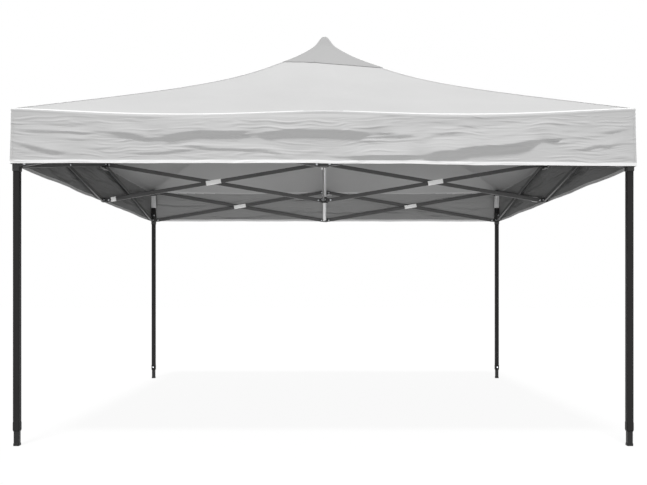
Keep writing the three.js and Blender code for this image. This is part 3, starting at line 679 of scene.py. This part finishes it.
for vertex in cover.data.vertices:
    x, y, z = vertex.co
    row = round(-z)
    if row == 0:
        lift = sum(fold_height(x, y, fold, roof_taper) for fold in roof_folds)
        vertex.co.z = roof_height(x, y) + lift * min(1, (roof_half - max(abs(x), abs(y))) / flat_rim)
        continue
    side, along = side_of(x, y)
    share = along / roof_half
    bend = tight_bend + slack_bend * math.sin(math.pi * share) ** 2
    turned = roof_slope + (math.pi / 2 - roof_slope) * clamp((row - 1) / (eave_rows - 1))
    start = cover_half - bend * (1 - math.sin(roof_slope))
    crown = roof_height(start, abs(share) * start)
    out = -bend * (1 - math.sin(turned))
    z = crown - bend * (math.cos(roof_slope) - math.cos(turned))
    if row > eave_rows:
        row -= eave_rows
        bottom = eave - hem_depth(side, share)
        if row > valance_rows - hem_rows:
            z = bottom + hem_width * (valance_rows - row) / hem_rows
        else:
            z = crown - bend * math.cos(roof_slope)
            z += (bottom + hem_width - z) * row / (valance_rows - hem_rows)
        out = valance_out(side, share, eave - z, row / valance_rows)
    reach = cover_half + out
    vertex.co = Matrix.Rotation(side * math.radians(90), 3, "Z") @ Vector((share * reach, -reach, z))
pick_faces(cover, lambda centre, normal: abs(abs(centre.x) - abs(centre.y)) < 1e-4 and centre.z > eave)
bpy.ops.mesh.quads_convert_to_tris(quad_method="LONGEST_DIAGONAL")
bpy.ops.mesh.select_all(action="SELECT")
bpy.ops.mesh.normals_make_consistent(inside=False)
bpy.ops.object.mode_set(mode="OBJECT")
if cover.data.polygons[0].normal.z < 0:
    cover.data.flip_normals()


# Polyester, woven plain and coated inside with PVC: matt, a little uneven, with a fine square grain.
# The threads lie 0.5 mm apart, too fine to show, so the grain is drawn at 4 mm. The hanging parts also
# show fine flat creases, a few centimetres apart. The cloth's own map has them below the roof.
valance_shift = 5


def polyester(name, colour, shade):
    cloth = new_material(name)
    tree = cloth.node_tree
    places = add_node(tree, "UVMap", {"uv_map": "UVMap"}, {}).outputs[0]
    warp, weft = (add_node(tree, "TexWave", {"wave_type": "BANDS", "bands_direction": way},
                           {"Vector": places, "Scale": 78.5, "Distortion": 0.6, "Detail": 1})
                  for way in ("X", "Y"))
    grain = add_node(tree, "Math", {"operation": "MULTIPLY"},
                     {0: warp.outputs["Fac"], 1: weft.outputs["Fac"]})
    clouds = add_node(tree, "TexNoise", {}, {"Vector": places, "Scale": 2.2, "Detail": 3})
    slubs = add_node(tree, "TexNoise", {}, {"Vector": places, "Scale": 45, "Detail": 2})
    tone = add_node(tree, "Mix", {"data_type": "RGBA"},
                    {"Factor": clouds.outputs["Fac"], 6: linear(shade), 7: linear(colour)})
    tone = add_node(tree, "Mix", {"data_type": "RGBA", "blend_type": "MULTIPLY"},
                    {"Factor": grain.outputs[0], 6: tone.outputs[2], 7: linear("#f6f6f6")})
    rough = add_node(tree, "MapRange", {}, {"Value": slubs.outputs["Fac"], 3: 0.78, 4: 0.92})
    relief = add_node(tree, "Math", {"operation": "ADD"}, {0: grain.outputs[0], 1: slubs.outputs["Fac"]})
    bump = add_node(tree, "Bump", {}, {"Height": relief.outputs[0], "Strength": 0.25, "Distance": 0.0004})
    bent = add_node(tree, "TexNoise", {}, {"Vector": places, "Scale": 4, "Detail": 1})
    sway = add_node(tree, "VectorMath", {"operation": "MULTIPLY_ADD"},
                    {0: bent.outputs["Color"], 1: (0.3, 0.06, 0), 2: places})
    stretch = add_node(tree, "Mapping", {}, {"Vector": sway.outputs[0], "Scale": (6, 58, 1)})
    creases = add_node(tree, "TexNoise", {"noise_type": "RIDGED_MULTIFRACTAL", "normalize": True},
                       {"Vector": stretch.outputs[0], "Scale": 1, "Detail": 3, "Roughness": 0.55})
    parts = add_node(tree, "SeparateXYZ", {}, {0: places})
    hanging = add_node(tree, "Math", {"operation": "LESS_THAN"},
                       {0: parts.outputs["Y"], 1: 1 - valance_shift})
    crumple = add_node(tree, "Math", {"operation": "MULTIPLY"},
                       {0: creases.outputs["Fac"], 1: hanging.outputs[0]})
    folds = add_node(tree, "Bump", {}, {"Height": crumple.outputs[0], "Strength": 0.8, "Distance": 0.005,
                                        "Normal": bump.outputs[0]})
    shader = add_node(tree, "BsdfPrincipled", {},
                      {"Base Color": tone.outputs[2], "Roughness": rough.outputs[0], "IOR": 1.5,
                       "Specular IOR Level": 0.25, "Sheen Weight": 0.08, "Normal": folds.outputs[0]})
    add_node(tree, "OutputMaterial", {}, {"Surface": shader.outputs[0]})
    return cloth


def lay_out(piece):
    """Gives cloth its flat places in metres, so that the weave follows it. A valance is laid out by itself
    below the roof, which tells the two apart in the material."""
    places = piece.data.uv_layers.get("UVMap") or piece.data.uv_layers.new(name="UVMap")
    for face in piece.data.polygons:
        side, _ = side_of(face.center.x, face.center.y)
        low = face.center.z < valance_top
        for loop in face.loop_indices:
            x, y, z = piece.data.vertices[piece.data.loops[loop].vertex_index].co
            places.data[loop].uv = ((x, y, -x, -y)[side], z - eave - valance_shift) if low else (x, y)


def thicken(piece, thickness, offset):
    pick_piece(piece)
    solidify = piece.modifiers.new("thickness", "SOLIDIFY")
    solidify.thickness = thickness
    solidify.offset = offset
    bpy.ops.object.modifier_apply(modifier=solidify.name)
    bpy.ops.object.shade_smooth_by_angle(angle=math.radians(40))


# The cloth follows the frame as it folds: each point goes with the leg tops, the upper connectors
# and the mast, by its share of the way to each. What lies on the mast's end stays round it.
def hang_on_frame(piece):
    mast_top = 0.025
    shares = {"mast": {}} | {f"leg_{c}": {} for c in corners} | {f"mid_upper_{s}": {} for s in sides}
    for vertex in piece.data.vertices:
        x, y, z = vertex.co
        reach = max(abs(x), abs(y))
        across = min(abs(x), abs(y)) / max(reach, 1e-6)
        outward = clamp((reach - mast_top) / (cover_half - mast_top))
        corner = next(c for c, (sx, sy) in corners.items() if sx * x >= 0 and sy * y >= 0)
        shares["leg_" + corner][vertex.index] = outward * across
        shares["mid_upper_" + sides[side_of(x, y)[0]]][vertex.index] = outward * (1 - across)
        shares["mast"][vertex.index] = clamp((z - eave) / (peak - eave))
    for body, weights in shares.items():
        group = piece.vertex_groups.new(name=body)
        for index, weight in weights.items():
            if weight > 0.001:
                group.add([index], weight, "REPLACE")
        hook = piece.modifiers.new("held by " + body, "HOOK")
        hook.object = frame["bodies"][body]
        hook.vertex_group = body
        hook.falloff_type = "NONE"
    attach(piece, "hub")


# Hem, corner seams and eave highlight. The lower edge is turned up twice and bound in white, and the valances
# meet at the corners in flat seams.
# Where they meet the roof, a white strip laid as tape over the seam is a painted highlight on the eave's
# roll.
def cut_from(piece, name, wanted):
    """A copy of a cloth that keeps only the wanted faces, for a second layer sewn on it."""
    pick_faces(piece, lambda centre, normal: False)
    bpy.ops.object.mode_set(mode="OBJECT")
    bpy.ops.object.duplicate()
    layer = bpy.context.object
    layer.name = name
    pick_faces(layer, lambda centre, normal: not wanted(centre, normal))
    bpy.ops.mesh.delete(type="FACE")
    bpy.ops.object.mode_set(mode="OBJECT")
    return layer


def sew_on(layer, cloth, thickness, offset):
    lay_out(layer)
    thicken(layer, thickness, offset)
    layer.data.materials.append(cloth)
    hang_on_frame(layer)


def along_side(centre):
    return side_of(centre.x, centre.y)[1] / cover_half


cover_polyester = polyester("grey_coated_polyester", "#c4c4c4", "#bababa")
binding = polyester("white_polyester_binding", "#eeeeee", "#e6e6e6")
hem = cut_from(cover, "valance_hem", lambda centre, normal: (
    centre.z < eave - 0.2
    and centre.z < eave + hem_width - hem_depth(side_of(centre.x, centre.y)[0], along_side(centre))))
sew_on(hem, binding, thickness=0.0034, offset=0)
corner_seams = cut_from(cover, "valance_corner_seams", lambda centre, normal: (
    centre.z < eave - 0.02 and min(abs(centre.x), abs(centre.y)) > cover_half - seam_width - 0.004))
sew_on(corner_seams, cover_polyester, thickness=0.0022, offset=0)
# Painted highlight: white cloth laid only on the faces of the eave's roll that face partly up, where the
# light on the roll is brightest.
eave_tape_painted_highlight = cut_from(cover, "eave_tape_painted_highlight", lambda centre, normal: (
    max(abs(centre.x), abs(centre.y)) > roof_half and 0.62 < normal.z < 0.925
    and centre.z > eave - 0.01 - eave_sag(along_side(centre))))
sew_on(eave_tape_painted_highlight, binding, thickness=0.0009, offset=1)

# Hip seams. The gores meet along the hips in flat seams, which lie on the roof as narrow double strips.
# They start under the peak cap.
seam_start, seam_breadth, seam_lift = 0.24, 0.022, 0.0006
hips = []
for name, (sx, sy) in corners.items():
    deselect_all()
    bpy.ops.mesh.primitive_grid_add(x_subdivisions=96, y_subdivisions=4, size=1)
    hip = bpy.context.object
    for vertex in hip.data.vertices:
        out = seam_start + (vertex.co.x + 0.5) * (roof_half - 0.004 - seam_start)
        beside = vertex.co.y * seam_breadth
        x, y = sx * (out - beside / 2), sy * (out + beside / 2)
        vertex.co = (x, y, roof_height(x, y) + seam_lift)
    if sx * sy < 0:
        hip.data.flip_normals()
    hips.append(hip)
hip_seams = join_as("hip_seams", hips)
sew_on(hip_seams, cover_polyester, thickness=0.0009, offset=1)


# Peak cap. A second layer of the same cloth over the peak, which takes the wear of the mast; its colour is
# painted darker, a painted shade for the steep cap.
# Its edge is turned under and sewn down, and lies further down the right hips than the left.
def cap_reach(a, b):
    """How far out the cap's edge lies from the mast, towards a point of the square round it."""
    left, right, front_hollow, side_hollow = 0.262, 0.361, 0.05, 0.03
    if abs(b) >= abs(a):
        return left + (right - left) * (a + 1) / 2 - front_hollow * (1 - a * a)
    return (right if a > 0 else left) - side_hollow * (1 - b * b)


def lay_cap(piece, clearance):
    """Lays a square grid on the roof as the cap, its rows closest at the tip, where it is lifted a little."""
    tip_reach, tip_lift = 0.14, 0.003
    for vertex in piece.data.vertices:
        u, v = vertex.co.x, vertex.co.y
        reach = max(abs(u), abs(v))
        share = reach ** 0.2 * cap_reach(u / reach, v / reach) if reach > 0 else 0
        x, y = u * share, v * share
        lift = sum(fold_height(x, y, fold, roof_taper) for fold in roof_folds)
        tip = max(0, 1 - max(abs(x), abs(y)) / tip_reach)
        vertex.co = (x, y, roof_height(x, y) + max(0, lift) + clearance + tip_lift * tip)


deselect_all()
bpy.ops.mesh.primitive_grid_add(x_subdivisions=64, y_subdivisions=64, size=2)
cap = bpy.context.object
cap.name = "peak_cap"
pick_faces(cap, lambda centre, normal: False)
bpy.ops.object.mode_set(mode="OBJECT")
cap_hem = cut_from(cap, "peak_cap_hem", lambda centre, normal: max(abs(centre.x), abs(centre.y)) > 0.93)
# Painted shade: the cap's grey is darker than the roof's because the steep cap gets less light, not because
# of the second layer.
cap_cloth_with_painted_shade = polyester("doubled_polyester_with_painted_shade", "#aaaaaa", "#a0a0a0")
for piece, clearance, thickness in ((cap, 0.0022, 0.0009), (cap_hem, 0.003, 0.0012)):
    pick_faces(piece, lambda centre, normal: abs(abs(centre.x) - abs(centre.y)) < 1e-3)
    bpy.ops.mesh.quads_convert_to_tris(quad_method="SHORTEST_DIAGONAL")
    bpy.ops.object.mode_set(mode="OBJECT")
    lay_cap(piece, clearance)
    sew_on(piece, cap_cloth_with_painted_shade, thickness, offset=1)

# Ties. Tabs of white webbing, sewn to the eave inside, hang behind the upper connectors and turn
# under them, and hold the cover to the middle of each side. Each is cut away round the connector.
tab_left, tab_width, tab_length = -0.055, 0.082, 0.068
tab_out, tab_top = 1.4738, 1.5865
fall, turn_radius = 0.038, 0.003
connector_left, connector_bottom = -0.022, 1.557
tabs = []
for side in range(4):
    deselect_all()
    bpy.ops.mesh.primitive_grid_add(x_subdivisions=12, y_subdivisions=20, size=1)
    tab = bpy.context.object
    for vertex in tab.data.vertices:
        x = tab_left + (vertex.co.x + 0.5) * tab_width
        run = (0.5 - vertex.co.y) * tab_length
        bend = min(math.pi / 2, max(0, (run - fall) / turn_radius))
        down = min(run, fall) + turn_radius * math.sin(bend)
        inward = turn_radius * (1 - math.cos(bend)) + max(0, run - fall - turn_radius * math.pi / 2)
        bow = 0.0008 * math.sin(x * 60 + side)
        vertex.co = (x, inward - tab_out, tab_top - down + bow - 0.12 * inward)
    pick_faces(tab, lambda centre, normal: centre.x > connector_left and centre.z > connector_bottom)
    bpy.ops.mesh.delete(type="FACE")
    bpy.ops.object.mode_set(mode="OBJECT")
    tab.data.transform(Matrix.Rotation(side * math.radians(90), 4, "Z"))
    tabs.append(tab)
ties = join_as("cover_ties", tabs)
sew_on(ties, binding, thickness=0.0011, offset=0)

# Inside of the cover. The coating is PVC on both parts. Under the roof its colour is painted paler, a painted
# light for the daylight that comes through the cloth, and on the valances it is painted darker, a painted
# shade. Solidify adds the inner faces after the outer ones.
lay_out(cover)
outside = len(cover.data.polygons)
thicken(cover, 0.001, -1)
cover.data.materials.append(cover_polyester)
# Painted light under the roof and painted shade inside the valances, in the two coatings' colours.
cover.data.materials.append(polyester("pvc_coating_painted_paler_by_light", "#cacaca", "#c0c0c0"))
cover.data.materials.append(polyester("pvc_coating_painted_in_shade", "#9c9c9c", "#929292"))
for face in cover.data.polygons[outside:]:
    face.material_index = 2 if face.center.z < valance_top else 1
hang_on_frame(cover)
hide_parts("canopy_cover")

# Corner straps. White hook and loop webbing, sewn to the cover's corners inside, wrapped round each
# leg under its bracket and pressed shut, with the free end standing off towards the middle. outline is
# the way round the tube from the free end, seen from above and measured from the tube's middle.
outline = [(-0.025, -0.0205), (-0.018, -0.0185), (-0.008, -0.0180), (0.008, -0.0180), (0.0150, -0.0178),
           (0.0172, -0.0155), (0.0174, -0.006), (0.0174, 0.008), (0.0172, 0.0150), (0.0150, 0.0172),
           (0.006, 0.0174), (-0.008, 0.0174), (-0.0150, 0.0172), (-0.0172, 0.0150), (-0.0174, 0.006),
           (-0.0172, -0.006), (-0.0168, -0.0135), (-0.0140, -0.0163), (-0.004, -0.0165)]
strap_top, strap_height = 1.5445, 0.103
tail_out, tail_curl = 0.005, 0.002
for name, (sx, sy) in corners.items():
    deselect_all()
    bpy.ops.mesh.primitive_grid_add(x_subdivisions=36, y_subdivisions=10, size=1)
    strap = bpy.context.object
    strap.name = "corner_strap_" + name
    for vertex in strap.data.vertices:
        place = (vertex.co.x + 0.5) * (len(outline) - 1)
        step = min(int(place), len(outline) - 2)
        u, v = (a + (b - a) * (place - step) for a, b in zip(outline[step], outline[step + 1]))
        down = 0.5 - vertex.co.y
        tail = max(0, 1 - place / 2)
        u += tail * tail_out * (1 - down) ** 2
        v -= tail * tail_curl * math.sin(5 * down)
        z = strap_top - strap_height * down + 0.001 * math.sin(9 * place / len(outline))
        vertex.co = (sx * (half + u), sy * (half + v), z)
    strap.data.update()
    if sx * sy > 0:
        strap.data.flip_normals()
    lay_out(strap)
    thicken(strap, 0.0012, 0)
    strap.data.materials.append(binding)
    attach(strap, "leg_" + name)
